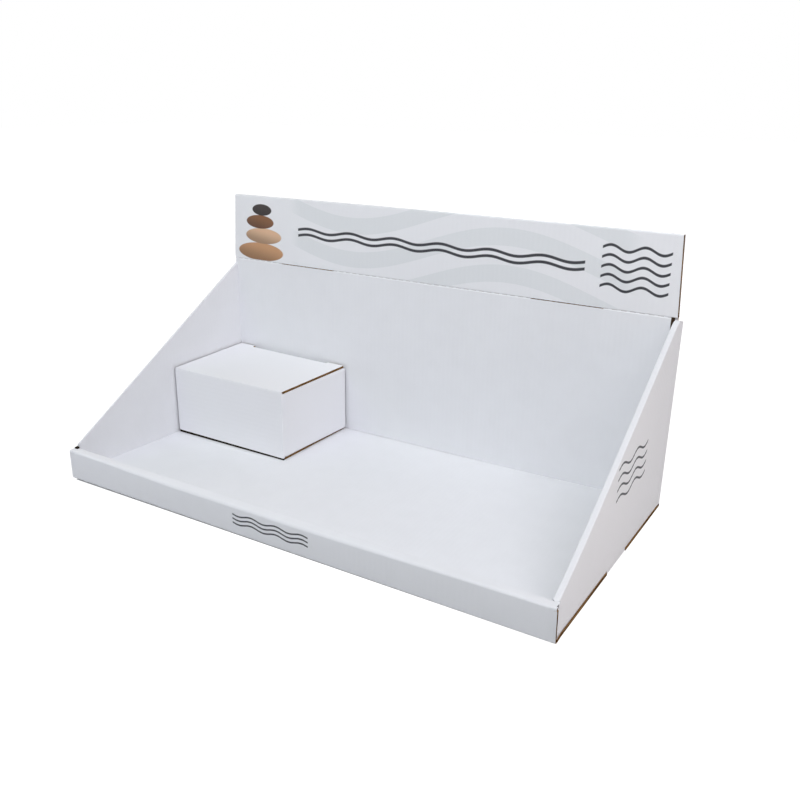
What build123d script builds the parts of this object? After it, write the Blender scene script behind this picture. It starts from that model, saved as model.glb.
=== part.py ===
"""Counter display of corrugated board: a folded tray, a back card with its header, and a riser carton.

The display faces -Y and stands on z = 0, with the origin under the middle of the tray.
"""

import math
import os

from build123d import *

# Board
board = 3.0  # thickness
ply_gap = 0.3  # room between plies that lie against each other
fold_radius = 1.6  # outside of a creased fold

# Tray
tray_width = 610.0
tray_depth = 306.0
wall_height = 215.0  # side walls at the back
slope_foot = 37.0  # side walls where they come down to the lip
lip_height = 34.0
lip_depth = 10.5  # over the outer ply, the side flap and the inner ply
flap_length = 60.0  # side wall's front flap, held inside the lip
flap_drop = 1.2  # flap's top below the fold of the lip
edge_tab_length = 52.0  # side wall's tab in the notch of the base's edge
edge_tab_place = 6.0  # middle of that tab, along the depth
edge_tab_radius = 2.0
lip_tab_length = 44.0  # tabs of the lip's inner ply, in slots of the base
lip_tab_spacing = 200.0
lip_tab_count = 3
side_room = 0.5  # between a side wall and what stands beside it

# Back card
header_inset = 4.0  # header's ends inside the tray's sides
header_height = 86.0
header_lift = 2.0  # header's ears above the side walls
ear_radius = 3.5
lining_gap = 3.9  # lining's right edge to the side wall
slit_length = 85.0  # lock slits in the crease under the header
slit_place = 180.0  # middle of each slit from the middle of the card
slit_width = 1.4
crease_width = 2.4
crease_depth = 0.8

# Riser carton
riser_width = 176.0
riser_depth = 131.5
riser_height = 89.4
riser_room = 1.2  # to the tray's left wall
riser_back_room = 0.7  # to the back card
front_lift = 1.0  # front panel's cut edge above the tray's floor
dust_flap_length = 62.0
dust_flap_taper = 12.0
bottom_tuck_length = 24.0
bottom_inset = 0.4  # bottom panel's cut ends inside the side panels' faces

# Riser lid
lid_fold_radius = 2.0
lid_gap = 0.2  # across the mitre of the hinged fold
lid_ear = 25.0  # lid's corners beside the tuck flap
tuck_length = 22.0
tuck_lean = 7.0  # degrees, towards the inside
tuck_room = 0.6  # to the back panel's inner face
tuck_corner = 9.0
dust_flap_room = 1.5  # to the tuck flap

# Levels and faces that follow from the sizes
half = tray_width / 2
front = -tray_depth / 2
back = tray_depth / 2
floor = board
seat = floor + ply_gap
wall = 2 * board + ply_gap
lip_back = front + lip_depth
flap_front = front + board + ply_gap
flap_top = lip_height - board - flap_drop
slope_front = lip_back + ply_gap
card_front = back - wall
lining_left = -half + wall + side_room
lining_right = half - wall - lining_gap
header_end = half - header_inset
crease_height = wall_height + header_lift
header_top = crease_height + header_height
back_top = crease_height - ply_gap
slope = Vector(0, card_front - slope_front, wall_height - slope_foot)
strip_drop = board * slope.length / slope.Y

riser_left = -half + wall + riser_room
riser_right = riser_left + riser_width
riser_middle = (riser_left + riser_right) / 2
riser_back = card_front - riser_back_room
riser_front = riser_back - riser_depth
riser_top = floor + riser_height
lid_under = riser_top - board
flap_level = lid_under - ply_gap
bottom_flap_level = floor + board + ply_gap
tuck_face = riser_back - board - tuck_room
fold_centre = (riser_front + lid_fold_radius, riser_top - lid_fold_radius)


def at(value, place):
    """Whether a coordinate lies at a place."""
    return abs(value - place) < 1e-3


def span(x0, x1, y0, y1, z0, z1, mode=Mode.ADD):
    """A square-cut panel of board between two opposite corners."""
    with Locations(((x0 + x1) / 2, (y0 + y1) / 2, (z0 + z1) / 2)):
        Box(abs(x1 - x0), abs(y1 - y0), abs(z1 - z0), mode=mode)


def side_outline(y0, y1):
    """Outline of a side wall's ply: low inside the lip, then up the slope to the back."""
    Polygon(
        (y0, seat),
        (y1, seat),
        (y1, wall_height),
        (card_front, wall_height),
        (slope_front, slope_foot),
        (slope_front, flap_top),
        (y0, flap_top),
        align=None,
    )


# Tray: one blank, with base, lip and back wall as one bent section across the width
with BuildPart() as tray:
    with BuildSketch(Plane.YZ) as bent_section:
        with BuildLine():
            Polyline(
                (back, back_top),
                (back, 0),
                (front, 0),
                (front, lip_height),
                (lip_back, lip_height),
                (lip_back, seat),
                (lip_back - board, seat),
                (lip_back - board, lip_height - board),
                (front + board, lip_height - board),
                (front + board, floor),
                (back - board, floor),
                (back - board, back_top),
                close=True,
            )
        make_face()
        fillet(bent_section.vertices().filter_by(lambda v: at(v.Y, 0) or at(v.Y, lip_height)), fold_radius)
    extrude(amount=half, both=True)

    # The lip's inner ply fits between the side walls, and its tabs go into the base
    lip_end = half - wall - side_room
    lip_inside = lip_back - board
    for side in (-1, 1):
        span(side * lip_end, side * half, lip_inside, lip_back, floor, lip_height - board, Mode.SUBTRACT)
    for index in range(lip_tab_count):
        middle = (index - (lip_tab_count - 1) / 2) * lip_tab_spacing
        reach = lip_tab_length / 2
        slot = reach + ply_gap
        slot_front = lip_inside - ply_gap
        slot_back = lip_back + ply_gap
        span(middle - slot, middle + slot, slot_front, slot_back, 0, floor, Mode.SUBTRACT)
        span(middle - reach, middle + reach, lip_inside, lip_back, ply_gap, seat)

    # Notches in the base's cut edges for the tabs of the side walls
    notch_front = edge_tab_place - edge_tab_length / 2 - ply_gap
    notch_back = edge_tab_place + edge_tab_length / 2 + ply_gap
    for side in (-1, 1):
        span(side * (half - board - ply_gap), side * half, notch_front, notch_back, 0, floor, Mode.SUBTRACT)

    # Side walls: two plies under a strip that rolls over the slope
    for side in (-1, 1):
        with BuildSketch(Plane.YZ.offset(side * half)):
            side_outline(flap_front, back)
        extrude(amount=-side * board)
        with BuildSketch(Plane.YZ.offset(side * (half - board - ply_gap))):
            side_outline(flap_front + board + ply_gap, back - board - ply_gap)
        extrude(amount=-side * board)
        with BuildSketch(Plane.YZ.offset(side * (half - board))):
            with BuildLine():
                Polyline(
                    (slope_front, slope_foot),
                    (card_front, wall_height),
                    (card_front, wall_height - strip_drop),
                    (slope_front, slope_foot - strip_drop),
                    close=True,
                )
            make_face()
        extrude(amount=-side * ply_gap)
        span(side * (half - flap_length), side * half, flap_front, flap_front + board, seat, flap_top)
        with BuildSketch(Plane.YZ.offset(side * half)):
            with Locations((edge_tab_place, seat / 2)):
                tab = Rectangle(edge_tab_length, seat)
            fillet(tab.vertices().group_by(Axis.Y)[0], edge_tab_radius)
        extrude(amount=-side * board)

    # The strip's two folds are rounded by corners cut along the slope
    slope_plane = Plane((0, slope_front, slope_foot), x_dir=(1, 0, 0), z_dir=slope)
    with BuildSketch(slope_plane):
        for side in (-1, 1):
            for edge, inward in ((side * half, -side), (side * (half - wall), side)):
                with Locations((edge + inward * fold_radius / 2, fold_radius / 2)):
                    Rectangle(fold_radius, fold_radius)
                with Locations((edge + inward * fold_radius, fold_radius)):
                    Circle(fold_radius, mode=Mode.SUBTRACT)
    extrude(amount=slope.length, mode=Mode.SUBTRACT)
    upright = tray.edges().filter_by(Axis.Z).filter_by(lambda e: at(abs(e.center().X), half))
    fillet(upright.filter_by(lambda e: at(e.center().Y, flap_front)), fold_radius)
    fillet(upright.filter_by(lambda e: at(e.center().Y, back)), fold_radius)
tray.part.label = "tray"

# Back card: lining and header are one sheet, and the header folds over at its top
with BuildPart() as back_card:
    with BuildSketch(Plane.YZ) as header_section:
        with BuildLine():
            Polyline(
                (card_front, crease_height),
                (card_front, header_top),
                (back, header_top),
                (back, crease_height),
                (back - board, crease_height),
                (back - board, header_top - board),
                (card_front + board, header_top - board),
                (card_front + board, crease_height),
                close=True,
            )
        make_face()
        fillet(header_section.vertices().filter_by(lambda v: at(v.Y, header_top)), fold_radius)
    extrude(amount=header_end, both=True)
    ears = back_card.edges().filter_by(Axis.Y).group_by(Axis.Z)[0]
    fillet(ears, ear_radius)

    span(lining_left, lining_right, card_front, card_front + board, seat, crease_height)

    # Crease between lining and header, with the two lock slits in it
    with BuildSketch(Plane.YZ.offset(lining_left)):
        with BuildLine():
            Polyline(
                (card_front, crease_height + crease_width / 2),
                (card_front + crease_depth, crease_height),
                (card_front, crease_height - crease_width / 2),
                close=True,
            )
        make_face()
    extrude(amount=lining_right - lining_left, mode=Mode.SUBTRACT)
    for side in (-1, 1):
        with Locations((side * slit_place, card_front + board / 2, crease_height)):
            Box(slit_length, board, slit_width, mode=Mode.SUBTRACT)
back_card.part.label = "back_card"

# Riser carton: four walls with upright folds, dust flaps, and a tucked bottom hinged on the back panel
with BuildPart() as riser_carton:
    with BuildSketch(Plane.XY.offset(bottom_flap_level)):
        with Locations((riser_middle, (riser_front + riser_back) / 2)):
            RectangleRounded(riser_width, riser_depth, fold_radius)
            Rectangle(riser_width - 2 * board, riser_depth - 2 * board, mode=Mode.SUBTRACT)
    extrude(amount=flap_level - bottom_flap_level)
    for side in (-1, 1):
        edge = riser_middle + side * riser_width / 2
        free = edge - side * (board + dust_flap_length)
        for level, drop in ((flap_level, -board), (bottom_flap_level, board)):
            with BuildSketch(Plane.XY.offset(level)):
                with BuildLine():
                    Polyline(
                        (edge - side * board, riser_front + board + ply_gap),
                        (edge - side * board, tuck_face - board - dust_flap_room),
                        (free, tuck_face - board - dust_flap_room - dust_flap_taper),
                        (free, riser_front + board + ply_gap + dust_flap_taper),
                        close=True,
                    )
                make_face()
            extrude(amount=drop)
    across = riser_carton.edges().filter_by(Axis.Y)
    fillet(across.filter_by(lambda e: at(abs(e.center().X - riser_middle), riser_width / 2)), fold_radius)

    # Back panel, bottom and the bottom's tuck flap are one bent section
    tuck_front = riser_front + board + ply_gap
    with BuildSketch(Plane.YZ.offset(riser_left + bottom_inset)) as bottom_section:
        with BuildLine():
            Polyline(
                (riser_back, bottom_flap_level),
                (riser_back, floor),
                (tuck_front, floor),
                (tuck_front, floor + bottom_tuck_length),
                (tuck_front + board, floor + bottom_tuck_length),
                (tuck_front + board, floor + board),
                (riser_back - board, floor + board),
                (riser_back - board, bottom_flap_level),
                close=True,
            )
        make_face()
        fillet(bottom_section.vertices().group_by(Axis.Y)[0], fold_radius)
    extrude(amount=riser_width - 2 * bottom_inset)

    # Front panel, from its cut lower edge up to its half of the lid's fold
    with BuildSketch(Plane.YZ.offset(riser_left + fold_radius)):
        with BuildLine():
            lower = Line((riser_front + board, floor + front_lift), (riser_front, floor + front_lift))
            Line(lower @ 1, (riser_front, riser_top - lid_fold_radius))
            bend = CenterArc(fold_centre, lid_fold_radius, 180, -45)
            Polyline(bend @ 1, (riser_front + board, lid_under), lower @ 0)
        make_face()
    extrude(amount=riser_width - 2 * fold_radius)
riser_carton.part.label = "riser_carton"

# Riser lid: hinged on the fold at the front, with a tuck flap between its rear corners
with BuildPart() as riser_lid:
    with BuildSketch(Plane.YZ.offset(riser_left)):
        with BuildLine():
            bend = CenterArc(fold_centre, lid_fold_radius, 90, 45 - math.degrees(lid_gap / lid_fold_radius))
            Polyline(
                bend @ 0,
                (riser_back, riser_top),
                (riser_back, lid_under),
                (riser_front + board + math.sqrt(2) * lid_gap, lid_under),
                bend @ 1,
            )
        make_face()
    extrude(amount=riser_width)
    tuck_width = riser_width - 2 * lid_ear
    span(
        riser_middle - tuck_width / 2,
        riser_middle + tuck_width / 2,
        tuck_face,
        riser_back,
        lid_under,
        riser_top,
        Mode.SUBTRACT,
    )
    lean = math.radians(tuck_lean)
    tuck_plane = Plane(
        (riser_middle, tuck_face, lid_under), x_dir=(1, 0, 0), z_dir=(0, math.cos(lean), -math.sin(lean))
    )
    with BuildSketch(tuck_plane) as tuck_flap:
        with Locations((0, tuck_length / 2)):
            Rectangle(tuck_width - 2 * ply_gap, tuck_length)
        fillet(tuck_flap.vertices().group_by(Axis.Y)[-1], tuck_corner)
    extrude(amount=-board)
    rear_edges = riser_lid.edges().filter_by(Axis.X).filter_by(lambda e: at(e.center().Y, tuck_face))
    fillet(rear_edges.filter_by(lambda e: at(e.center().Z, riser_top)), fold_radius)
riser_lid.part.label = "riser_lid"

os.makedirs("parts", exist_ok=True)
for piece in (tray, back_card, riser_carton, riser_lid):
    export_step(piece.part, f"parts/{piece.part.label}.step")
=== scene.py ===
"""Counter display of corrugated board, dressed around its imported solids.

Every sheet is a section carried along an axis. The section is a closed ring of points, rounded on the outside
of its folds. The axis has a station about every millimetre, where the ring rises and falls with the flutes
inside the board. A raw edge is hollow: two liners with the fluted medium standing between them.
"""

from itertools import pairwise
from math import ceil, cos, pi, radians, sin
from types import SimpleNamespace

import bmesh
import bpy
import numpy as np
from mathutils import Matrix, Vector


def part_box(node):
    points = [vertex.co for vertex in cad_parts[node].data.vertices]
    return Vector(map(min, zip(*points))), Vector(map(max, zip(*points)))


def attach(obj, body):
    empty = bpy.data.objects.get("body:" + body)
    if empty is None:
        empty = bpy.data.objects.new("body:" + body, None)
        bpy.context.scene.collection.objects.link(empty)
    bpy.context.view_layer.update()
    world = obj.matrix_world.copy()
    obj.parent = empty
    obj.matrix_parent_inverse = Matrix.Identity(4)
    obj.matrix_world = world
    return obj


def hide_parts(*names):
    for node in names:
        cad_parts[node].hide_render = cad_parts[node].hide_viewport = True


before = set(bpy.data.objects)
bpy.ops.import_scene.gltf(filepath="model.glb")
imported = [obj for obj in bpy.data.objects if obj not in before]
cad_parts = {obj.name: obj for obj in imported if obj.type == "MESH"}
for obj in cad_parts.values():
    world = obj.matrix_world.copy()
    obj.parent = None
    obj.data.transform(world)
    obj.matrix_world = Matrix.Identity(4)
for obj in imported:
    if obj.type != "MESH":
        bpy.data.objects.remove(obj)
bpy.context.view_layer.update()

bl_info = {
    "name": "Counter Display",
    "version": (1, 0, 0),
    "blender": (4, 5, 0),
    "location": "3D View > Sidebar > Display",
    "description": "Folds a counter display of corrugated board around its packed solids",
    "category": "Add Mesh",
}

FACE, EDGE, HOLLOW, GAP = 0, 1, 2, 3  # material slots: white liner, raw edge, painted shade inside the flutes, painted near-black shade in a deep gap
ALL_FACE, CUT_PLY = (FACE, FACE, FACE, FACE), (EDGE, FACE, EDGE, FACE)  # slots of a section's four sides
ORDER = {"x": [2, 0, 1], "y": [0, 2, 1], "z": [0, 1, 2]}  # (section, section, station) to x, y, z
WHITE = (1.0, 1.0, 1.0)
TINY, NONZERO = 1e-6, 1e-12  # a difference that counts as none, and a start that keeps a sum from being zero
ARC_STEPS = 6  # spans of a rounded corner
SHARP_ANGLE = radians(32)  # edges that turn by more look cut
MEDIUM_DEPTHS = (0.15, 1.02)  # where the medium starts and ends, in depths of a raw edge's recess
MEDIUM_STEP = 0.004  # longest step along the medium
FLAT_SWING, FLUTE_SWING = 0.22, 0.32  # medium's swing in thicknesses: in an edge along the flutes, and across
LID_MITRE = 0.75 * pi  # angle on the lid's fold where lid and front panel part
LINER_GLOSS, PRINT_GLOSS = 0.35, 0.4
INK_DEPTHS, HEADER_INK_DEPTHS = (0.0006, 0.0003), (0.0012, 0.0009)  # below a face: no ink, and full ink

# Water lines in print: middle across and up, width, pitch and number of rows, wave's length, line's breadth
LIP_LINES = (-0.004, 0.0165, 0.098, 0.0048, 3, 0.0327, 0.0011)
WALL_LINES = (0.030, 0.090, 0.090, 0.011, 4, 0.045, 0.0015)
HEADER_LINES = (  # their heights are over the crease
    (0.0025, 0.044, 0.391, 0.0075, 2, 0.0652, 0.0021),
    (0.253, 0.045, 0.074, 0.0105, 5, 0.037, 0.0019),
)
PEBBLES = (  # at the header's left: middle, height over the crease, half width, half height and colour
    (-0.258, 0.0125, 0.038, 0.0120, (0.56, 0.31, 0.16)),
    (-0.252, 0.0340, 0.030, 0.0102, (0.72, 0.47, 0.30)),
    (-0.257, 0.0525, 0.023, 0.0088, (0.22, 0.10, 0.045)),
    (-0.253, 0.0685, 0.016, 0.0074, (0.035, 0.026, 0.024)),
)
LAMPS = (  # softboxes: name, place, side, watts and colour
    ("high_right", (1.1, -0.3, 1.3), 1.0, 10.9, (0.96, 0.95, 1.0)),
    ("high_front", (0.0, -1.2, 1.5), 1.0, 14.6, (0.87, 0.91, 1.0)),
    ("high_left", (-0.9, -1.0, 1.5), 1.0, 4.2, (0.86, 1.0, 0.73)),
    ("left", (-1.6, 0.0, 0.7), 1.0, 4.8, (1.0, 0.88, 0.88)),
    ("rear", (-0.3, 1.7, 0.6), 1.0, 18.0, (1.0, 1.0, 1.0)),
    ("low_right", (0.75, -0.08, 0.14), 0.35, 0.47, (1.0, 0.85, 0.77)),
    ("low_left", (-0.62, -0.6, 0.2), 0.35, 0.43, (0.76, 0.75, 1.0)),
)
BED = (-0.1419, -0.105, -0.07, -0.035, 0.0, 0.035, 0.07, 0.105, 0.13, 0.1468, 0.149)  # places across the base

TRAY_LOW, TRAY_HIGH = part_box("tray")
CARD_LOW, CARD_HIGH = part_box("back_card")
RISER_LOW, RISER_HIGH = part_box("riser_carton")
LID_LOW, LID_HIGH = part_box("riser_lid")


def length(name, description, default):
    """Setting in metres."""
    return bpy.props.FloatProperty(
        name=name, description=description, default=default, precision=5, unit="LENGTH", subtype="DISTANCE"
    )


def colour(name, description, default):
    """Setting for a linear colour."""
    return bpy.props.FloatVectorProperty(
        name=name, description=description, default=default, size=3, min=0.0, max=1.0, subtype="COLOR"
    )


def angle(name, description, default):
    """Setting in radians, shown in degrees."""
    return bpy.props.FloatProperty(
        name=name, description=description, default=default, unit="ROTATION", subtype="ANGLE"
    )


def pair(name, description, first, second):
    """Setting of two lengths in metres: left and right, where the description says nothing else."""
    return bpy.props.FloatVectorProperty(
        name=name, description=description, default=(first, second), size=2, precision=5, unit="LENGTH"
    )


def level(name, description, default):
    """Setting for a plain number such as a light's strength."""
    return bpy.props.FloatProperty(name=name, description=description, default=default, min=0.0)


class BoardSettings(bpy.types.PropertyGroup):
    """Corrugated board that every sheet is cut from."""

    thickness: length("Thickness", "Caliper of the board", 0.003)
    ply_gap: length("Ply Gap", "Room between plies that lie against each other", 0.0003)
    fold_radius: length("Fold Radius", "Outside of a creased fold", 0.0016)
    flute_pitch: length("Flute Pitch", "Distance from flute to flute", 0.006)
    washboard: length("Washboard", "Rise and fall of a face over the flutes", 0.00006)
    liner: length("Liner", "Thickness of a liner at a raw edge", 0.00042)
    medium: length("Medium", "Thickness of the fluted medium at a raw edge", 0.00042)
    recess: length("Recess", "Depth to which a raw edge is open", 0.0009)
    grid: length("Grid", "Distance between stations of a fluted face", 0.001)
    white: colour("White", "Coated face of the board", (0.83, 0.835, 0.855))
    kraft: colour("Kraft", "Liner and medium at a raw edge", (0.42, 0.235, 0.09))
    # Painted shade: the flutes' insides are kraft darkened for the shade in them, and deep gaps are near
    # black.
    shade: colour("Shade", "Inside of the flutes", (0.15, 0.072, 0.024))
    gap_shade: colour("Gap Shade", "Inside of a deep gap", (0.022, 0.014, 0.008))


class TraySettings(bpy.types.PropertyGroup):
    """Folded tray."""

    wall_heights: pair("Wall Heights", "Side walls at the back", 0.2102, 0.2152)
    wall_feet: pair("Wall Feet", "Side walls where they come down to the lip", 0.0376, 0.0348)
    wall_plies: pair("Wall Plies", "Thickness that a side wall's plies are pressed to", 0.0019, 0.003)
    strip_tilts: pair("Strip Tilts", "Strip's inner edge over its outer edge at the front", 0.003, 0.0)
    corner_drop: length("Corner Drop", "Fall of a wall's top over its rear corner", 0.002)
    front_lean: length("Front Lean", "Right wall's top drawn in at the lip", 0.0025)
    rear_flares: pair("Rear Flares", "Right wall's rear edge out at its foot and at its top", 0.0011, 0.0034)
    edge_reach: length("Edge Reach", "Base's right edge out at the floor", 0.0010)
    lip_reach: length("Lip Reach", "Lip's left end out", 0.0012)
    lip_sags: pair("Lip Sags", "Lip's lower edge down at its ends", 0.0021, 0.0013)
    wall_lift: length("Wall Lift", "Right wall's lower edge over the base", 0.0010)
    edge_swell: length("Edge Swell", "Base's right edge up, where its flutes are not pressed", 0.0006)
    floor_rises: pair("Floor Rises", "Bow of the floor beside the side walls", 0.0020, 0.0038)
    foot_radius: length("Foot Radius", "Outside of the fold under the lip", 0.0018)
    brow_radius: length("Brow Radius", "Outside of the fold along the lip's upper front edge", 0.0028)
    lip_bow: length("Lip Bow", "Fall of that edge between the lip's ends", 0.0036)
    lip_droop: length("Lip Droop", "Fall of that edge all along", 0.0004)
    lip_height: length("Lip Height", "Top of the front lip", 0.034)
    lip_depth: length("Lip Depth", "Lip from its outer to its inner face", 0.0105)
    flap_length: length("Flap Length", "Side wall's flap held inside the lip", 0.060)
    flap_drop: length("Flap Drop", "Flap's top below the lip's strip", 0.0012)
    edge_tab_length: length("Edge Tab Length", "Side wall's tab in the base's edge", 0.055)
    edge_tab_place: length("Edge Tab Place", "Middle of that tab along the depth", 0.0045)
    edge_tab_radius: length("Edge Tab Radius", "Rounding of that tab", 0.002)
    lip_tab_length: length("Lip Tab Length", "Tabs of the lip's inner ply in the base", 0.044)
    lip_tab_spacing: length("Lip Tab Spacing", "Distance between those tabs", 0.2)
    side_room: length("Side Room", "Between a side wall and what stands beside it", 0.0005)
    ink: colour("Ink", "Dark printing ink", (0.035, 0.036, 0.042))


class CardSettings(bpy.types.PropertyGroup):
    """Back card with its header."""

    crease_height: length("Crease Height", "Fold between lining and header", 0.217)
    lining_left: length("Lining Left", "Left edge of the lining", -0.3002)
    lining_right: length("Lining Right", "Right edge of the lining", 0.2948)
    slit_length: length("Slit Length", "Lock slits in the crease", 0.085)
    slit_place: length("Slit Place", "Middle of each slit from the middle of the card", 0.180)
    slit_width: length("Slit Width", "Opening of a slit", 0.0009)
    crease_width: length("Crease Width", "Pressed line of the crease", 0.0024)
    crease_depth: length("Crease Depth", "Depth of the pressed line", 0.0008)
    ear_radius: length("Ear Radius", "Rounding of the header's lower left corner", 0.0035)
    taper_feet: pair("Taper Feet", "Header's ends out at the crease", 0.0032, 0.0014)
    crown: length("Crown", "Header's top edge up in its middle", 0.0009)
    taper_top: length("Taper Top", "Header's ends in at the top", 0.0024)
    field: colour("Field", "Grey printed ground of the header", (0.775, 0.79, 0.803))
    band: colour("Band", "Paler waves in that ground", (0.85, 0.852, 0.87))


class RiserSettings(bpy.types.PropertyGroup):
    """Riser carton and its lid."""

    front_lifts: pair("Front Lifts", "Front panel's cut edge above the floor", 0.0034, 0.0024)
    side_sag: length("Side Sag", "Right panel's lower edge down at its rear", 0.0010)
    side_flare: length("Side Flare", "Right panel's rear edge out", 0.0026)
    left_reach: length("Left Reach", "Carton's left side out", 0.0011)
    dust_flap_length: length("Dust Flap Length", "Reach of a dust flap", 0.062)
    dust_flap_taper: length("Dust Flap Taper", "Slant of a dust flap's sides", 0.012)
    dust_flap_room: length("Dust Flap Room", "Between dust flap and tuck flap", 0.0015)
    bottom_tuck: length("Bottom Tuck", "Height of the bottom's tuck flap", 0.024)
    bottom_inset: length("Bottom Inset", "Bottom's cut ends inside the side panels", 0.0004)
    lid_fold_radius: length("Lid Fold Radius", "Outside of the lid's hinged fold", 0.002)
    lid_gap: length("Lid Gap", "Across the mitre of that fold", 0.0002)
    lid_twist: length("Lid Twist", "Lid's rear left corner above the others", 0.0034)
    rear_room: length("Rear Room", "Back panel ahead of the carton's place", 0.0020)
    lid_ear: length("Lid Ear", "Lid's corners beside the tuck flap", 0.025)
    tuck_length: length("Tuck Length", "Reach of the lid's tuck flap", 0.022)
    tuck_lean: angle("Tuck Lean", "Lean of the tuck flap to the inside", radians(7))
    tuck_room: length("Tuck Room", "Tuck flap to the back panel", 0.0006)
    tuck_corner: length("Tuck Corner", "Rounding of the tuck flap", 0.009)


class StageSettings(bpy.types.PropertyGroup):
    """Camera, light and floor."""

    eye: bpy.props.FloatVectorProperty(
        name="Eye",
        description="Place of the camera",
        default=(0.512163, -0.744437, 0.435133),
        size=3,
        unit="LENGTH",
        subtype="TRANSLATION",
    )
    yaw: angle("Yaw", "Camera's turn about the vertical", -0.55)
    pitch: angle("Pitch", "Camera's tilt down", 0.344)
    roll: angle("Roll", "Camera's turn about its own axis", 0.012)
    focal: level("Focal Length", "Camera's focal length in millimetres on a 36 mm frame", 38.695)
    ambient: level("Ambient", "Light from all round", 0.13)
    power: level("Power", "Strength of every softbox over its own watts", 1.0)
    floor: colour("Floor", "Paint of the floor", (0.5, 0.5, 0.5))
    floor_fall: level("Floor Fall", "Slope of the floor down to the left", 0.0024)
    shade_turn: level("Shade Turn", "Slope of the shade's front limit under the lip", 0.0022)


class DisplaySettings(bpy.types.PropertyGroup):
    """All settings of the display."""

    board: bpy.props.PointerProperty(type=BoardSettings)
    tray: bpy.props.PointerProperty(type=TraySettings)
    card: bpy.props.PointerProperty(type=CardSettings)
    riser: bpy.props.PointerProperty(type=RiserSettings)
    stage: bpy.props.PointerProperty(type=StageSettings)


def layout(scene):
    """Faces and levels of the folded display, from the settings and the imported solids."""
    settings = scene.counter_display
    board, tray, riser = settings.board, settings.tray, settings.riser
    t, gap = board.thickness, board.ply_gap
    v = SimpleNamespace(board=board, tray=tray, card=settings.card, riser=riser)
    v.t, v.gap, v.fold = t, gap, board.fold_radius
    v.half, v.front, v.back, v.back_top = TRAY_HIGH.x, TRAY_LOW.y, TRAY_HIGH.y, TRAY_HIGH.z
    v.floor, v.seat, v.wall = t, t + gap, 2 * t + gap
    v.lip_back = v.front + tray.lip_depth
    v.lip_end = v.half - v.wall - tray.side_room
    v.flap_front = v.front + t + gap
    v.flap_top = tray.lip_height - t - tray.flap_drop
    v.slope_front = v.lip_back + gap
    v.tab_front = tray.edge_tab_place - tray.edge_tab_length / 2
    v.tab_back = tray.edge_tab_place + tray.edge_tab_length / 2
    v.card_front, v.header_top, v.header_end = CARD_LOW.y, CARD_HIGH.z, CARD_HIGH.x
    v.left, v.right = LID_LOW.x - riser.left_reach, LID_HIGH.x
    v.riser_front, v.riser_back, v.riser_top = RISER_LOW.y, RISER_HIGH.y - riser.rear_room, LID_HIGH.z
    v.lid_under = v.riser_top - t
    v.flap_level, v.bottom_level = v.lid_under - gap, v.floor + t + gap
    v.tuck_face = v.riser_back - t - riser.tuck_room
    v.fold_centre = np.array((v.riser_front + riser.lid_fold_radius, v.riser_top - riser.lid_fold_radius))
    return v


def stations(start, end, step):
    """Evenly spaced places from start to end, no further apart than a step."""
    return np.linspace(start, end, max(2, ceil(abs(end - start) / step - TINY) + 1))


def share(value, low, high):
    """How far the value has come from low to high, from 0 to 1."""
    return np.clip((value - low) / (high - low), 0, 1)


def eased(value, low, high):
    """Smooth step from 0 to 1 as the value goes from low to high."""
    part = share(value, low, high)
    return part * part * (3 - 2 * part)


def quarter(distance, radius):
    """Rise of a quarter circle over the distance from where it starts level."""
    reach = np.clip(distance, 0, radius)
    return radius - np.sqrt(radius**2 - reach**2)


def circle(turn):
    """Points of the unit circle at angles."""
    return np.stack((np.cos(turn), np.sin(turn)), -1)


def unit(vectors):
    """Vectors over their own lengths."""
    return vectors / np.linalg.norm(vectors, axis=-1, keepdims=True)


def shifted(points, *moves):
    """Points moved by an amount in each direction."""
    return points + np.stack(np.broadcast_arrays(*moves), -1)


def rounded(corners, radii, kinds):
    """Ring through the corners with an arc at each one that has a radius.

    An arc touches both sides of its corner: its centre lies on the bisector at radius over the sine of half
    the angle, and it runs between the points at radius over the tangent of half the angle. kinds has the
    material slot of each side, from its corner to the next. A span on an arc is a face.
    """
    corners, radii, kinds = np.asarray(corners, float), np.asarray(radii, float), np.asarray(kinds)
    before, after = unit(np.roll(corners, 1, 0) - corners), unit(np.roll(corners, -1, 0) - corners)
    half_angle = np.arccos(np.clip((before * after).sum(-1), -1, 1))[:, None] / 2
    reach = radii[:, None]
    centre = corners + unit(before + after + NONZERO) * reach / np.sin(half_angle)
    first = corners + before * reach / np.tan(half_angle) - centre
    last = corners + after * reach / np.tan(half_angle) - centre
    begin = np.arctan2(first[:, 1], first[:, 0])
    sweep = (np.arctan2(last[:, 1], last[:, 0]) - begin + pi) % (2 * pi) - pi
    turn = begin[:, None] + sweep[:, None] * np.linspace(0, 1, ARC_STEPS + 1)
    arcs = centre[:, None] + reach[:, None] * circle(turn)
    at_end = np.arange(ARC_STEPS + 1) == ARC_STEPS
    kept = (reach > 0) | at_end
    return wound(arcs[kept], np.where(at_end, kinds[:, None], FACE)[kept])


def wound(ring, kinds):
    """The ring and its spans' slots, turned round where it runs clockwise."""
    following = np.roll(ring, -1, 0)
    area = (ring[:, 0] * following[:, 1] - following[:, 0] * ring[:, 1]).sum()
    if area > 0:
        return ring, kinds
    return ring[::-1], np.roll(kinds[::-1], -1)


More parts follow.
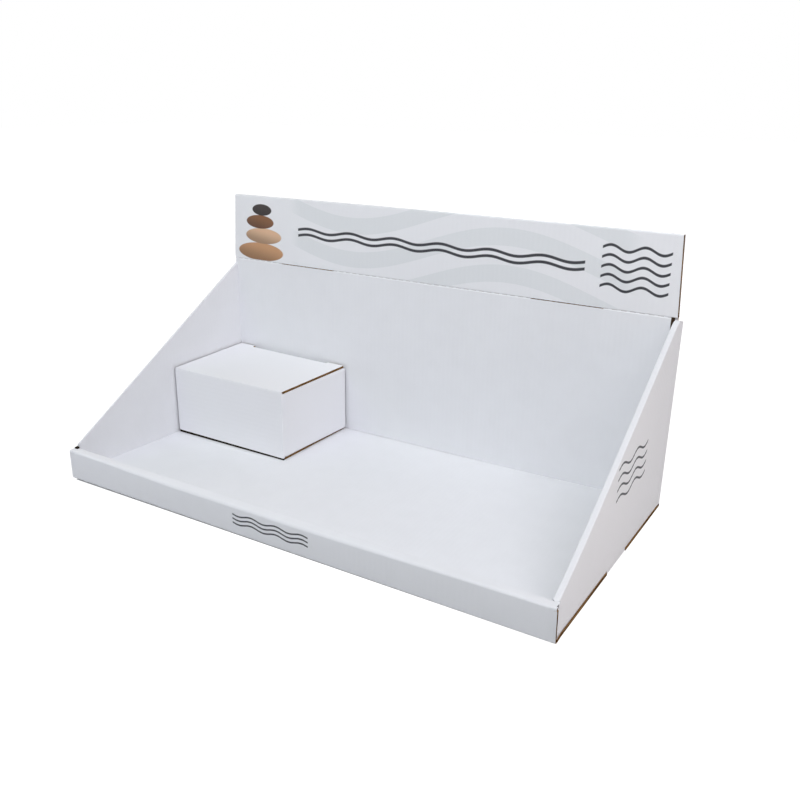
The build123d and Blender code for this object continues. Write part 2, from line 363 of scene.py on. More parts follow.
def folded(path, thickness, radius):
    """Ring of a folded sheet whose middle line is the path.

    Each side is the path moved half a thickness along its normals, mitred at the folds. The outside of a fold
    is rounded by the one radius, or by its own. The two ends are raw edges.
    """
    path = np.asarray(path, float)
    along = unit(np.diff(path, axis=0))
    normal = np.stack((-along[:, 1], along[:, 0]), -1)
    between = (normal[:-1] + normal[1:]) / (1 + (normal[:-1] * normal[1:]).sum(-1, keepdims=True))
    mitre = np.concatenate((normal[:1], between, normal[-1:])) * thickness / 2
    turn = along[:-1, 0] * along[1:, 1] - along[:-1, 1] * along[1:, 0]
    left = np.concatenate(([0], np.where(turn < 0, radius, 0), [0]))
    right = np.concatenate(([0], np.where(turn > 0, radius, 0), [0]))
    corners = np.concatenate((path + mitre, (path - mitre)[::-1]))
    kinds = np.full(len(corners), FACE)
    kinds[[len(path) - 1, -1]] = EDGE
    return rounded(corners, np.concatenate((left, right[::-1])), kinds)


def rectangle(a0, a1, b0, b1, kinds=ALL_FACE):
    """Ring of a square-cut section, with the slots of its lower, right, upper and left sides."""
    low, high = min(a0, a1), max(a0, a1)
    return np.array(((low, b0), (high, b0), (high, b1), (low, b1))), np.array(kinds)


def dense(ring, kinds, step):
    """The ring with points added along its spans, no further apart than a step."""
    following = np.roll(ring, -1, 0)
    counts = np.maximum(1, np.ceil(np.linalg.norm(following - ring, axis=-1) / step).astype(int))
    index = np.repeat(np.arange(len(ring)), counts)
    part = (np.arange(counts.sum()) - np.repeat(np.cumsum(counts) - counts, counts)) / counts[index]
    return ring[index] + (following - ring)[index] * part[:, None], kinds[index]


def outward(rings):
    """Normals of rings that run counter-clockwise, from the span before each point to the span after it."""
    along = unit(np.roll(rings, -1, -2) - rings)
    both = along + np.roll(along, 1, -2)
    both = unit(np.where(np.linalg.norm(both, axis=-1, keepdims=True) < TINY, along, both))
    return np.stack((both[..., 1], -both[..., 0]), -1)


def placed(rings, depth, axis):
    """Points of section rings in x, y and z, with their depth along the axis."""
    depth = np.broadcast_to(depth, rings.shape[:2])[..., None]
    return np.concatenate((rings, depth), -1)[..., ORDER[axis]]


def shown(name, data):
    """New object in the scene."""
    made = bpy.data.objects.new(name, data)
    bpy.context.scene.collection.objects.link(made)
    return made


class Sheets:
    """Closed shells of board that make one mesh."""

    def __init__(self, board, washboard):
        self.board, self.washboard = board, washboard
        self.points, self.quads, self.caps, self.kinds, self.cap_kinds = [], [], [], [], []
        self.count = 0

    def add(self, grid):
        """Takes rows of points, and gives their numbers."""
        index = self.count + np.arange(grid.shape[0] * grid.shape[1]).reshape(grid.shape[:2])
        self.points.append(grid.reshape(-1, 3))
        self.count += index.size
        return index

    def join(self, rows, kinds):
        """Joins each row of numbered points to the next with quads round the ring, in slots of their own."""
        beside = np.roll(rows, -1, 1)
        self.quads.append(np.stack((rows[:-1], beside[:-1], beside[1:], rows[1:]), -1).reshape(-1, 4))
        self.kinds.append(np.broadcast_to(kinds, rows[1:].shape).ravel())

    def cap(self, row, kind):
        """Closes an end with one face."""
        self.caps.append(row.tolist())
        self.cap_kinds.append(kind)

    def prism(self, ring, kinds, places, axis, cap=EDGE, shape=None, flutes=None, raw=(False, False)):
        """Carries a section along an axis, through places in any order.

        shape moves the ring at each place. flutes is "places" where the flutes lie across the axis, or 0 or 1
        for the section's direction that they lie across: each point then moves along the ring's normal by the
        washboard times the cosine of its distance in flutes. A raw end is open as deep as the recess: the
        liners' rim, the hollow's wall and its floor. Another end is closed with the cap's slot.
        """
        board, places = self.board, np.sort(places)
        rings = np.repeat(ring[None], len(places), 0) if shape is None else shape(ring, places)
        if flutes is not None:
            across = places[:, None] if flutes == "places" else rings[..., flutes]
            rise = self.washboard * np.cos(2 * pi * across / board.flute_pitch)
            rings = rings + outward(rings) * rise[..., None]
        index = self.add(placed(rings, places[:, None], axis))
        self.join(index, kinds)
        for end, inward in ((0, 1), (-1, -1)):
            if not raw[end]:
                self.cap(index[end], cap)
                continue
            inner = rings[end] - outward(rings[end]) * board.liner
            sink = places[end] + inward * np.array((0, board.recess))
            mouth = self.add(placed(np.stack((inner, inner)), sink[:, None], axis))
            # The hollow's wall and floor take the flute slot's painted shade.
            self.join(np.stack((index[end], *mouth)), ((EDGE,), (HOLLOW,)))
            self.cap(mouth[1], HOLLOW)

    def bend(self, since, moved, *values):
        """Moves the points of the shells made since a mark."""
        self.points[since:] = [moved(points, *values) for points in self.points[since:]]

    def medium(self, line, outer, inward, pitch, swing, phase=0.0):
        """Stands the fluted medium in a raw edge that faces along x.

        Its middle follows a straight line and leaves it by swing times the sine of the distance over the
        pitch. The strip is as thick as the medium, and runs from just inside the edge to the recess's floor.
        """
        board = self.board
        start, end = np.asarray(line, float)
        along = stations(0, np.linalg.norm(end - start), min(pitch / 10, MEDIUM_STEP))
        ahead = unit(end - start)
        aside = np.array((-ahead[1], ahead[0]))
        turn = 2 * pi * along / pitch + phase
        middle = start + along[:, None] * ahead + (swing * np.sin(turn))[:, None] * aside
        slope = swing * 2 * pi / pitch * np.cos(turn)
        normal = unit(aside - slope[:, None] * ahead) * board.medium / 2
        near, far = (outer + inward * part * board.recess for part in MEDIUM_DEPTHS)
        corners = np.stack((middle - normal, middle + normal, middle + normal, middle - normal), 1)
        index = self.add(placed(corners, (near, near, far, far), "x"))
        self.join(index, EDGE)
        self.cap(index[0], EDGE)
        self.cap(index[-1], EDGE)

    def piece(self, name, materials):
        """The shells as one object, its faces turned outwards, smooth over folds and sharp at cut edges."""
        mesh = bpy.data.meshes.new(name)
        mesh.from_pydata(np.concatenate(self.points), [], np.concatenate(self.quads).tolist() + self.caps)
        kinds = np.concatenate((*self.kinds, self.cap_kinds)).astype(np.int32)
        mesh.polygons.foreach_set("material_index", kinds)
        work = bmesh.new()
        work.from_mesh(mesh)
        bmesh.ops.recalc_face_normals(work, faces=work.faces)
        work.to_mesh(mesh)
        work.free()
        mesh.shade_smooth()
        mesh.set_sharp_from_angle(angle=SHARP_ANGLE)
        for material in materials:
            mesh.materials.append(material)
        return shown(name, mesh)


class Nodes:
    """A material's or world's emptied node tree, with short calls for the nodes that it needs."""

    def __init__(self, owner):
        owner.use_nodes = True
        self.tree = owner.node_tree
        self.tree.nodes.clear()

    def node(self, kind, *values, **settings):
        """A new node with its own settings, and its inputs fed in order."""
        made = self.tree.nodes.new(kind)
        for key, value in settings.items():
            setattr(made, key, value)
        for socket, value in zip(made.inputs, values):
            self.feed(socket, value)
        return made

    def feed(self, socket, value):
        """Links a socket, or sets its value. A colour gets its alpha here."""
        if isinstance(value, bpy.types.NodeSocket):
            self.tree.links.new(value, socket)
        else:
            socket.default_value = (*value, 1.0) if socket.type == "RGBA" else value

    def named(self, node, values):
        """Feeds a node's inputs by name."""
        for name, value in values.items():
            self.feed(node.inputs[name], value)
        return node

    def math(self, operation, first, *others):
        """Plain operation on a number, or on it and each other number in turn."""
        if not others:
            return self.node("ShaderNodeMath", first, operation=operation).outputs[0]
        for other in others:
            first = self.node("ShaderNodeMath", first, other, operation=operation).outputs[0]
        return first

    def mix(self, factor, first, second):
        """One shader over another."""
        return self.node("ShaderNodeMixShader", factor, first.outputs[0], second.outputs[0]).outputs[0]

    def seen(self):
        """1 for rays from the camera and for those that gloss and glass send on."""
        paths = self.node("ShaderNodeLightPath").outputs
        rays = ("Is Camera Ray", "Is Glossy Ray", "Is Transmission Ray")
        return self.math("MAXIMUM", *(paths[ray] for ray in rays))


class Finish(Nodes):
    """A material that starts with a shader and the place on its piece."""

    def __init__(self, name):
        self.material = bpy.data.materials.new(name)
        super().__init__(self.material)
        self.shader = self.node("ShaderNodeBsdfPrincipled")
        self.output = self.node("ShaderNodeOutputMaterial", self.shader.outputs["BSDF"])
        self.place = self.node("ShaderNodeTexCoord").outputs["Object"]
        self.x, self.y, self.z = self.node("ShaderNodeSeparateXYZ", self.place).outputs

    def ramp(self, value, low, high, start=0.0, end=1.0):
        """Eased step from start to end as the value goes from low to high."""
        values = (value, low, high, start, end)
        return self.node("ShaderNodeMapRange", *values, interpolation_type="SMOOTHSTEP").outputs[0]

    def inside(self, value, low, high, soft):
        """1 between two limits, with soft edges."""
        rise = self.ramp(value, low - soft, low + soft)
        return self.both(rise, self.ramp(value, high - soft, high + soft, 1.0, 0.0))

    def both(self, *masks):
        """Product of masks."""
        return self.math("MULTIPLY", *masks)

    def noise(self, scale, detail):
        """Noise on the piece's own place."""
        values = {"Vector": self.place, "Scale": scale, "Detail": detail}
        return self.named(self.node("ShaderNodeTexNoise"), values).outputs[0]

    def blend(self, factor, first, second):
        """One colour over another."""
        made = self.node("ShaderNodeMix", data_type="RGBA")
        return self.named(made, {"Factor": factor, "A": first, "B": second}).outputs["Result"]

    def bump(self, height, distance, under=None):
        """Relief from a height, on top of another relief."""
        made = self.named(self.node("ShaderNodeBump"), {"Distance": distance, "Height": height})
        if under is not None:
            self.feed(made.inputs["Normal"], under)
        return made.outputs[0]

    def finish(self, paint, roughness, relief, gloss):
        """Joins colour, roughness, relief and gloss to the shader."""
        values = {"Base Color": paint, "Roughness": roughness, "Normal": relief, "Specular IOR Level": gloss}
        self.named(self.shader, values)
        return self.material


def dim(tone, part):
    """A darker colour."""
    return [channel * part for channel in tone]


def liner_ground(finish, white):
    """Colour, roughness and relief of the coated white liner: faint mottle, paper grain and slow dips."""
    mottle = finish.noise(scale=42.0, detail=3.0)
    grain = finish.noise(scale=1500.0, detail=2.0)
    dips = finish.noise(scale=16.0, detail=1.0)
    paint = finish.blend(finish.ramp(mottle, low=0.3, high=0.7), dim(white, part=0.985), white)
    roughness = finish.ramp(mottle, low=0.25, high=0.75, start=0.5, end=0.62)
    relief = finish.bump(grain, distance=0.00002, under=finish.bump(dips, distance=0.0003))
    return paint, roughness, relief


def water_lines(finish, across, lines, base=0.0):
    """Ink mask of short lines that rise and fall like water, one above the other inside a window.

    A line shows where the height over its row, less a sine of the distance, is within half a line's breadth.
    """
    centre, middle, width, pitch, rows, wave, line = lines
    swell, core, side_blur, row_blur = pitch * 0.3, line * 0.6, 0.0004, 0.0001
    half = pitch * rows / 2
    turn = finish.math("MULTIPLY", finish.math("SUBTRACT", across, centre), 2 * pi / wave)
    swing = finish.math("MULTIPLY", finish.math("SINE", turn), swell)
    rise = finish.math("SUBTRACT", finish.z, base + middle, swing)
    row = finish.math("PINGPONG", finish.math("ADD", rise, half), pitch / 2)
    window = finish.both(
        finish.inside(across, centre - width / 2, centre + width / 2, side_blur),
        finish.inside(rise, -half, half, row_blur),
    )
    return finish.both(finish.ramp(row, pitch / 2 - line, pitch / 2 - core), window)


def white_board(name, white):
    """Plain coated board."""
    finish = Finish(name)
    return finish.finish(*liner_ground(finish, white), LINER_GLOSS)


def raw_edge(name, kraft):
    """Cut edge of the board: kraft with a fibrous streak."""
    finish = Finish(name)
    fibre = finish.noise(scale=700.0, detail=4.0)
    streak = finish.noise(scale=90.0, detail=2.0)
    paint = finish.blend(finish.ramp(streak, low=0.3, high=0.7), dim(kraft, part=0.6), kraft)
    roughness = finish.ramp(fibre, low=0.3, high=0.7, start=0.8, end=0.95)
    return finish.finish(paint, roughness, finish.bump(fibre, distance=0.0001), gloss=0.2)


def shade_inside(name, shade):
    """Painted shade inside the flutes or in a gap, mottled with fibre."""
    finish = Finish(name)
    fibre = finish.noise(scale=500.0, detail=3.0)
    paint = finish.blend(fibre, dim(shade, part=0.5), shade)
    roughness = finish.ramp(fibre, low=0.3, high=0.7, start=0.85, end=0.95)
    return finish.finish(paint, roughness, finish.bump(fibre, distance=0.0001), gloss=0.1)


def printed_tray(v):
    """Coated board with small water lines on the lip and on the right wall, and painted shade on its faces
    behind the card.
    """
    finish = Finish("printed_tray")
    paint, roughness, relief = liner_ground(finish, v.board.white)
    on_lip = finish.both(
        finish.ramp(finish.y, *(v.front + depth for depth in INK_DEPTHS)),
        water_lines(finish, finish.x, LIP_LINES),
    )
    on_wall = finish.both(
        finish.ramp(finish.x, *(v.half - depth for depth in INK_DEPTHS)),
        water_lines(finish, finish.y, WALL_LINES),
    )
    paint = finish.blend(finish.math("MAXIMUM", on_lip, on_wall), paint, v.tray.ink)
    # Painted shade: the tray's faces in the gap behind the back card are darkened to the flute shade at 0.4.
    margin, blur = 0.0004, 0.0002
    behind = finish.both(
        finish.inside(finish.y, v.card_front + margin, v.back - v.t + margin, blur),
        finish.inside(finish.x, -v.half + v.t, v.half - v.wall + margin, blur),
        finish.ramp(finish.z, 2 * v.seat, 2.1 * v.seat),
    )
    paint = finish.blend(behind, paint, dim(v.board.shade, part=0.4))
    return finish.finish(paint, roughness, relief, LINER_GLOSS)


def header_ground(finish, card):
    """Grey ground with pale waves, and pale ends.

    The waves are bands of the height over the crease, less a slow sine of the distance across.
    """
    wave, swell, pitch, band = 0.43, 0.024, 0.021, (0.0098, 0.0104)
    left, right, blur = -0.197, 0.2506, 0.012
    turn = finish.math("MULTIPLY", finish.x, 2 * pi / wave)
    swing = finish.math("MULTIPLY", finish.math("SINE", turn), swell)
    height = finish.math("SUBTRACT", finish.z, card.crease_height, swing)
    field = finish.blend(finish.ramp(finish.math("PINGPONG", height, pitch), *band), card.field, card.band)
    return finish.blend(finish.inside(finish.x, left, right, blur), card.band, field)


def pebble(finish, ground, crease, centre, rise, wide, tall, tone):
    """A stone over the ground: an ellipse, darker towards its lower left."""
    across = finish.math("DIVIDE", finish.math("SUBTRACT", finish.x, centre), wide)
    above = finish.math("DIVIDE", finish.math("SUBTRACT", finish.z, crease + rise), tall)
    reach = finish.math("ADD", finish.math("POWER", across, 2.0), finish.math("POWER", above, 2.0))
    slant, shading, outline = 0.5, (-1.0, 0.9), (1.08, 0.96)
    lit = finish.math("ADD", above, finish.math("MULTIPLY", across, slant))
    stone = finish.blend(finish.ramp(lit, *shading), dim(tone, part=0.5), tone)
    return finish.blend(finish.ramp(reach, *outline), ground, stone)


def printed_card(v):
    """Coated board whose header has a printed ground, dark water lines and stacked pebbles."""
    crease = v.card.crease_height
    finish = Finish("printed_card")
    paint, roughness, relief = liner_ground(finish, v.board.white)
    print_start, print_full = crease + 0.001, crease + 0.0014
    header = finish.both(
        finish.ramp(finish.y, *(v.card_front + depth for depth in HEADER_INK_DEPTHS)),
        finish.ramp(finish.z, print_start, print_full),
    )
    ink = finish.math("MAXIMUM", *(water_lines(finish, finish.x, lines, crease) for lines in HEADER_LINES))
    ground = finish.blend(ink, header_ground(finish, v.card), v.tray.ink)
    for stone in PEBBLES:
        ground = pebble(finish, ground, crease, *stone)
    half, blur, dash, cut, strength = 0.0003, 0.0001, 0.005, (0.0017, 0.0021), 0.35
    # Dashes of painted shade along the crease, standing for the shade in the perforation's cuts.
    perforation_shade = finish.both(
        finish.inside(finish.z, crease - half, crease + half, blur),
        finish.ramp(finish.math("PINGPONG", finish.x, dash), *cut),
    )
    paint = finish.blend(header, paint, ground)
    paint = finish.blend(finish.math("MULTIPLY", perforation_shade, strength), paint, v.board.shade)
    return finish.finish(paint, roughness, relief, PRINT_GLOSS)


def once(name, make, tone):
    """The material of that name, made where there is none yet."""
    return bpy.data.materials.get(name) or make(name, tone)


def sheet_materials(board, face=None):
    """Slots of a sheet: its face or plain white, its raw edges, and painted shade for the inside of its
    flutes and for its deep gaps.
    """
    return [
        face or once("white_board", white_board, board.white),
        once("raw_edge", raw_edge, board.kraft),
        once("flute_shade", shade_inside, board.shade),
        once("gap_shade", shade_inside, board.gap_shade),
    ]


def fold_blank(sheets, v):
    """Base, lip and back wall of the tray: a bent section along x that changes at slots, ends and notches."""
    t, tray, step = v.t, v.tray, v.board.grid
    inner, strip = v.lip_back - t / 2, tray.lip_height - t / 2
    outer, rear = v.front + t / 2, v.back - t / 2
    brow, foot = (outer, strip), (outer, t / 2)
    wide_folds = {brow: tray.brow_radius, foot: tray.foot_radius}
    lip = [(inner, v.seat), (inner, strip), ((inner + outer) / 2, strip), brow, foot]
    wall = [(rear, t / 2), (rear, v.back_top)]

    def bed(start, end):
        """Places on the middle of the base between two others."""
        return [(y, t / 2) for y in BED if start < y < end]

    def carry(path, places, raw=(False, False)):
        """The folded path carried along x, with the lip's front folds wider."""
        radii = [wide_folds.get(point, v.fold) for point in path[1:-1]]
        sheets.prism(*folded(path, t, radii), places, "x", flutes="places", raw=raw)

    slot_front, slot_back = v.lip_back - t - v.gap, v.lip_back + v.gap
    half_tab = tray.lip_tab_length / 2
    middles = np.array((-1, 0, 1)) * tray.lip_tab_spacing
    slots = np.add.outer(middles, (-half_tab - v.gap, half_tab + v.gap)).ravel()
    whole = [lip + bed(v.front, v.back) + wall]
    parted = [lip + [(slot_front, t / 2)], [(slot_back, t / 2)] + bed(slot_back, v.back) + wall]
    for number, (x0, x1) in enumerate(pairwise((-v.lip_end, *slots, v.lip_end))):
        for path in parted if number % 2 else whole:
            carry(path, stations(x0, x1, step))
    tab = rectangle(v.lip_back - t, v.lip_back, v.gap, v.seat, CUT_PLY)
    for middle in middles:
        sheets.prism(*tab, (middle - half_tab, middle + half_tab), "x")

    notch_front, notch_back = v.tab_front - v.gap, v.tab_back + v.gap
    lip_stub = [(outer, tray.lip_height - t), foot, *bed(v.front, notch_front), (notch_front, t / 2)]
    middle_stub = [(notch_front, t / 2), *bed(notch_front, notch_back), (notch_back, t / 2)]
    rear_stub = [(notch_back, t / 2), *bed(notch_back, v.back), *wall]
    corner_stub = [(notch_back, t / 2), (rear, t / 2), (rear, v.seat)]
    ends = (
        (lip_stub, v.lip_end, v.half, True),
        (middle_stub, v.lip_end, v.half - t - v.gap, False),
        (rear_stub, v.lip_end, v.half - t, False),
        (corner_stub, v.half - t, v.half, True),
    )
    margin, slow_pitch = 0.001, 0.11
    mediums = (
        (((outer, t + margin), (outer, strip - t)), 0.4),
        (((v.front + t + margin, t / 2), (notch_front - margin, t / 2)), 1.1),
        (((notch_back + margin, t / 2), (v.back - t - margin, t / 2)), 2.3),
    )
    for side in (-1, 1):
        for path, near, far, raw in ends:
            carry(path, side * stations(near, far, step), (raw and side < 0, raw and side > 0))
        for line, phase in mediums:
            sheets.medium(line, side * v.half, -side, slow_pitch, t * FLAT_SWING, phase + side)
    lip_ends(sheets, v)
    sheets.bend(0, settled, v)


def lip_ends(sheets, v):
    """Ends of the lip's top strip: an open pocket at the right in near-black painted shade, and at the left a
    near-black arch of painted shade where the wall's raw fold meets the strip.
    """
    low, high, step = v.tray.lip_height - v.t, v.tray.lip_height, v.board.grid
    pocket, split = v.front + 0.0028, v.lip_back - 0.0040
    rim, pocket_depth, rear_depth, left_depth = 0.00045, 0.0016, 0.0012, 0.0058
    # The pocket's floor is near-black painted shade, and the right end's cap is in the flute slot's painted
    # shade.
    open_end = ((pocket, split, pocket_depth, GAP), (split, v.lip_back, rear_depth, FACE))
    shut_end = ((split, v.lip_back, left_depth, FACE),)
    for side, behind, short, cap, parts in (
        (1, pocket, rim, HOLLOW, open_end),
        (-1, split, 0.0, FACE, shut_end),
    ):
        corners = ((v.front, low), (behind, low), (behind, high), (v.front, high))
        ring, kinds = rounded(corners, (0, 0, 0, v.fold), ALL_FACE)
        places = side * stations(v.lip_end, v.half - short, step)
        sheets.prism(ring, kinds, places, "x", cap, flutes="places")
        for near, far, depth, slot in parts:
            section = rectangle(near, far, low, high, (slot, FACE, FACE, FACE))
            places = side * stations(v.lip_end, v.half - depth, step)
            sheets.prism(*section, places, "x", slot, flutes="places")
    inset, sunk, reach, rise, front_room, back_room = 0.0030, 0.001, 0.0025, 0.0032, 0.0002, 0.0006
    # A solid near-black arch at the left end: painted shade, not a hole.
    turn = np.linspace(0, pi, 2 * ARC_STEPS + 1)
    shade_arch = np.array((-v.half + inset, high - sunk)) + (reach, rise) * circle(turn)
    places = (split + front_room, v.lip_back - back_room)
    sheets.prism(shade_arch, np.full(len(shade_arch), GAP), places, "y", GAP)


def settled(points, v):
    """The blank as it has settled.

    Outwards go the base's right edge, less above the floor, and the lip's left end. The floor bows up beside
    the side walls, and the base's right edge swells. The lip's lower edge sags at both ends, and its upper
    front edge falls between them.
    """
    x, y, z = points.T
    tray, t = v.tray, v.t
    upper_fall, lip_from, lip_fade, skin, roll, lip_flat = 0.7, 0.28, 0.02, 0.0001, 1.3, (-0.12, 0.0)
    left_rise, left_end, left_back = (0.2, 0.29), (0.3015, 0.3035), (-0.14, 0.03)
    right_rise, right_end, right_front, right_back = (0.02, 0.295), (0.2985, 0.301), 0.06, (0.1472, 0.149)
    height = share(z, 0, tray.lip_height)
    out = tray.edge_reach * (1 - upper_fall * share(z, 0, t)) * (z < 2 * t)
    out *= eased(x, v.half - v.wall, v.half)
    out -= tray.lip_reach * eased(-x, lip_from, v.half) * (1 - eased(y, v.lip_back, v.lip_back + lip_fade))
    left = eased(-x, *left_rise) * (1 - eased(-x, *left_end)) * (1 - eased(y, *left_back))
    right = share(x, *right_rise) ** 2 * (1 - eased(x, *right_end))
    right *= eased(y, v.lip_back, right_front) * (1 - eased(y, *right_back))
    on_floor = (z < v.seat + skin) & (y > v.lip_back)
    up = on_floor * (tray.floor_rises[0] * left + tray.floor_rises[1] * right)
    sag = (1 - eased(y, v.front + t, v.lip_back)) * (1 - height)
    up -= sag * np.interp(x, (-v.half, v.half), tray.lip_sags)
    bow = tray.lip_droop + tray.lip_bow * eased(x, -v.half, lip_flat[0]) * (1 - eased(x, lip_flat[1], v.half))
    up -= bow * share(y, v.lip_back, v.lip_back - tray.lip_depth) ** roll * height
    swollen = (z > t / 2) * (z < v.seat) * (y > v.lip_back)
    up += tray.edge_swell * eased(x, v.half - t, v.half) * swollen
    return shifted(points, out, 0, up)


def wall_layout(v, side):
    """Sizes of one side wall, with the middles of its plies and of its strip."""
    tray, number = v.tray, (side + 1) // 2
    w = SimpleNamespace(side=side, height=tray.wall_heights[number], foot=tray.wall_feet[number])
    w.t, w.tilt = tray.wall_plies[number], tray.strip_tilts[number]
    w.outer, w.inner = side * (v.half - w.t / 2), side * (v.half - 1.5 * w.t - v.gap)
    w.strip = w.foot - w.t / 2
    w.climb = (w.height - w.foot) / (v.card_front - v.slope_front)
    return w


def sloped_strip(sheets, v, w):
    """Two plies of a side wall under a strip that climbs with the slope."""
    rear_fall = 0.6

    def sloped(ring, places):
        """The upper points raised by the slope at each place, and tilted outwards, less at the back."""
        upper = ring[:, 1] > (v.seat + w.strip) / 2
        inside = share(v.half - w.side * ring[:, 0], 0, 2 * w.t)
        tilted = w.tilt * (1 - rear_fall * share(places, v.slope_front, v.card_front))
        climbed = w.climb * (places - v.slope_front)
        return shifted(ring, 0, upper * (climbed[:, None] + np.outer(tilted, inside)))

    path = [(w.outer, v.seat), (w.outer, w.strip), (w.inner, w.strip), (w.inner, v.seat)]
    places = stations(v.slope_front, v.card_front, v.board.grid)
    sheets.prism(*folded(path, w.t, v.fold), places, "y", FACE, sloped, "places")


def front_flap(sheets, v, w):
    """Flap of a side wall behind the lip's front, and the end of its inner ply."""
    middle = v.flap_front + w.t / 2
    path = ((w.outer, v.slope_front), (w.outer, middle), (w.side * (v.half - v.tray.flap_length), middle))
    # The ends of flap and ply are capped in the flute slot's painted shade.
    rise = (v.seat, v.flap_top)
    sheets.prism(*folded(path, w.t, v.fold), rise, "z", HOLLOW)
    front = v.flap_front + w.t + v.gap
    ply = rectangle(w.inner - w.t / 2, w.inner + w.t / 2, front, v.slope_front, CUT_PLY)
    sheets.prism(*ply, rise, "z", HOLLOW)


def lip_cheek(sheets, v, w):
    """Front of the right wall over its flap, and the strip above it running out to a point."""
    ply, top_room, strip_room, narrow = 0.0012, 0.0004, 0.0006, 0.06
    tip = v.lip_back - 0.0047
    places = (tip, v.slope_front)
    cheek = rectangle(v.half - ply, v.half, v.flap_top, v.tray.lip_height - top_room)
    sheets.prism(*cheek, places, "y", FACE)

    def mitred(ring, places):
        """The strip carried on down the slope, narrowing to its outer edge."""
        part = narrow + (1 - narrow) * share(places, tip, v.slope_front)
        across = np.outer(part, v.half - ring[:, 0])
        climbed = w.climb * (places - v.slope_front)
        upper = ring[:, 1] > v.tray.lip_height
        rise = upper * (climbed[:, None] + w.tilt * share(across, 0, 2 * w.t))
        return np.stack((v.half - across, ring[:, 1] + rise), -1)

    strip = rectangle(v.half - 2 * w.t - v.gap, v.half, v.tray.lip_height - strip_room, w.foot)
    sheets.prism(*strip, places, "y", FACE, mitred)


def rear_corner(sheets, v, w):
    """Rear of a side wall: its outer ply round the corner fold, and its inner ply up to the back wall."""
    pressed, right_drop = 0.12 * w.t, 0.004

    def cornered(ring, places):
        """The ring's top falling to the back, and its outer face turned in on the fold at the corner."""
        part = share(places, v.card_front, v.back)
        inward = pressed * part + quarter(places - v.back + v.fold, v.fold)
        turned = np.outer(inward, w.side * ring[:, 0] > v.half - w.t / 2)
        fallen = np.outer(v.tray.corner_drop * part, ring[:, 1] > (v.seat + w.height) / 2)
        return shifted(ring, -w.side * turned, -fallen)

    ply = rectangle(w.outer - w.t / 2, w.outer + w.t / 2, v.seat, w.height)
    sheets.prism(*ply, stations(v.card_front, v.back, v.board.grid / 4), "y", FACE, cornered)
    top = w.height - (right_drop if w.side > 0 else 0.0)
    ply = rectangle(w.inner - w.t / 2, w.inner + w.t / 2, v.seat, top)
    sheets.prism(*ply, (v.card_front, v.back - v.t - v.gap), "y", FACE)


def edge_tab(sheets, v, w):
    """Tab of a side wall in the notch of the base's edge."""
    radius = v.tray.edge_tab_radius
    corners = ((v.tab_front, 0), (v.tab_back, 0), (v.tab_back, v.seat), (v.tab_front, v.seat))
    ring, kinds = rounded(corners, (radius, radius, 0, 0), (EDGE, EDGE, FACE, EDGE))
    sheets.prism(ring, kinds, (w.side * (v.half - v.t), w.side * v.half), "x", FACE)


def leaning(points, v, w):
    """The right wall out over the base's edge, its top drawn in towards the lip and its rear edge flared.

    The draw falls off by the exponential of the distance behind the lip, and the flare grows with the square
    of the way to the rear edge. The lower edge stands off the base at the front.
    """
    _, y, z = points.T
    tray = v.tray
    overhang, fade, flare_length, lift_top, lift_end = 0.3 * tray.edge_reach, 0.05, 0.012, 0.02, 0.05
    top = np.clip(w.foot + w.climb * (y - v.slope_front), w.foot, w.height)
    drawn = overhang + tray.front_lean * np.exp(-np.maximum(y - v.slope_front, 0) / fade)
    out = overhang - drawn * share(z, 0, top)
    out += np.interp(z, (0, w.height), tray.rear_flares) * share(y, v.back - flare_length, v.back) ** 2
    up = tray.wall_lift * (1 - eased(z, v.seat, lift_top)) * (z > v.t) * (1 - eased(y, 0.0, lift_end))
    return shifted(points, out, 0, up)


def fold_side_wall(sheets, v, side):
    """One side wall from its parts. The right one leans."""
    w = wall_layout(v, side)
    mark = len(sheets.points)
    sloped_strip(sheets, v, w)
    front_flap(sheets, v, w)
    if side > 0:
        lip_cheek(sheets, v, w)
    rear_corner(sheets, v, w)
    edge_tab(sheets, v, w)
    if side > 0:
        sheets.bend(mark, leaning, v, w)


class COUNTER_DISPLAY_OT_tray(bpy.types.Operator):
    """Fold the tray with its lip and side walls"""

    bl_idname = "counter_display.tray"
    bl_label = "Tray"

    def execute(self, context):
        v = layout(context.scene)
        sheets = Sheets(v.board, v.board.washboard)
        fold_blank(sheets, v)
        for side in (-1, 1):
            fold_side_wall(sheets, v, side)
        tray = sheets.piece("tray_board", sheet_materials(v.board, printed_tray(v)))
        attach(tray, "stand")
        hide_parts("tray")
        return {"FINISHED"}


def header_corners(v, lower):
    """Corners, radii and slots of the header's section, from a lower edge of its front layer."""
    t, crease = v.t, v.card.crease_height
    front, back, top = v.card_front, v.back, v.header_top
    corners = [(front, lower), (front + t, lower), (front + t, top - t), (back - t, top - t)]
    corners += [(back - t, crease), (back, crease), (back, top), (front, top)]
    radii = [0, 0, 0, 0, 0, 0, v.fold, v.fold]
    kinds = [EDGE, FACE, FACE, FACE, EDGE, FACE, FACE, FACE]
    return corners, radii, kinds


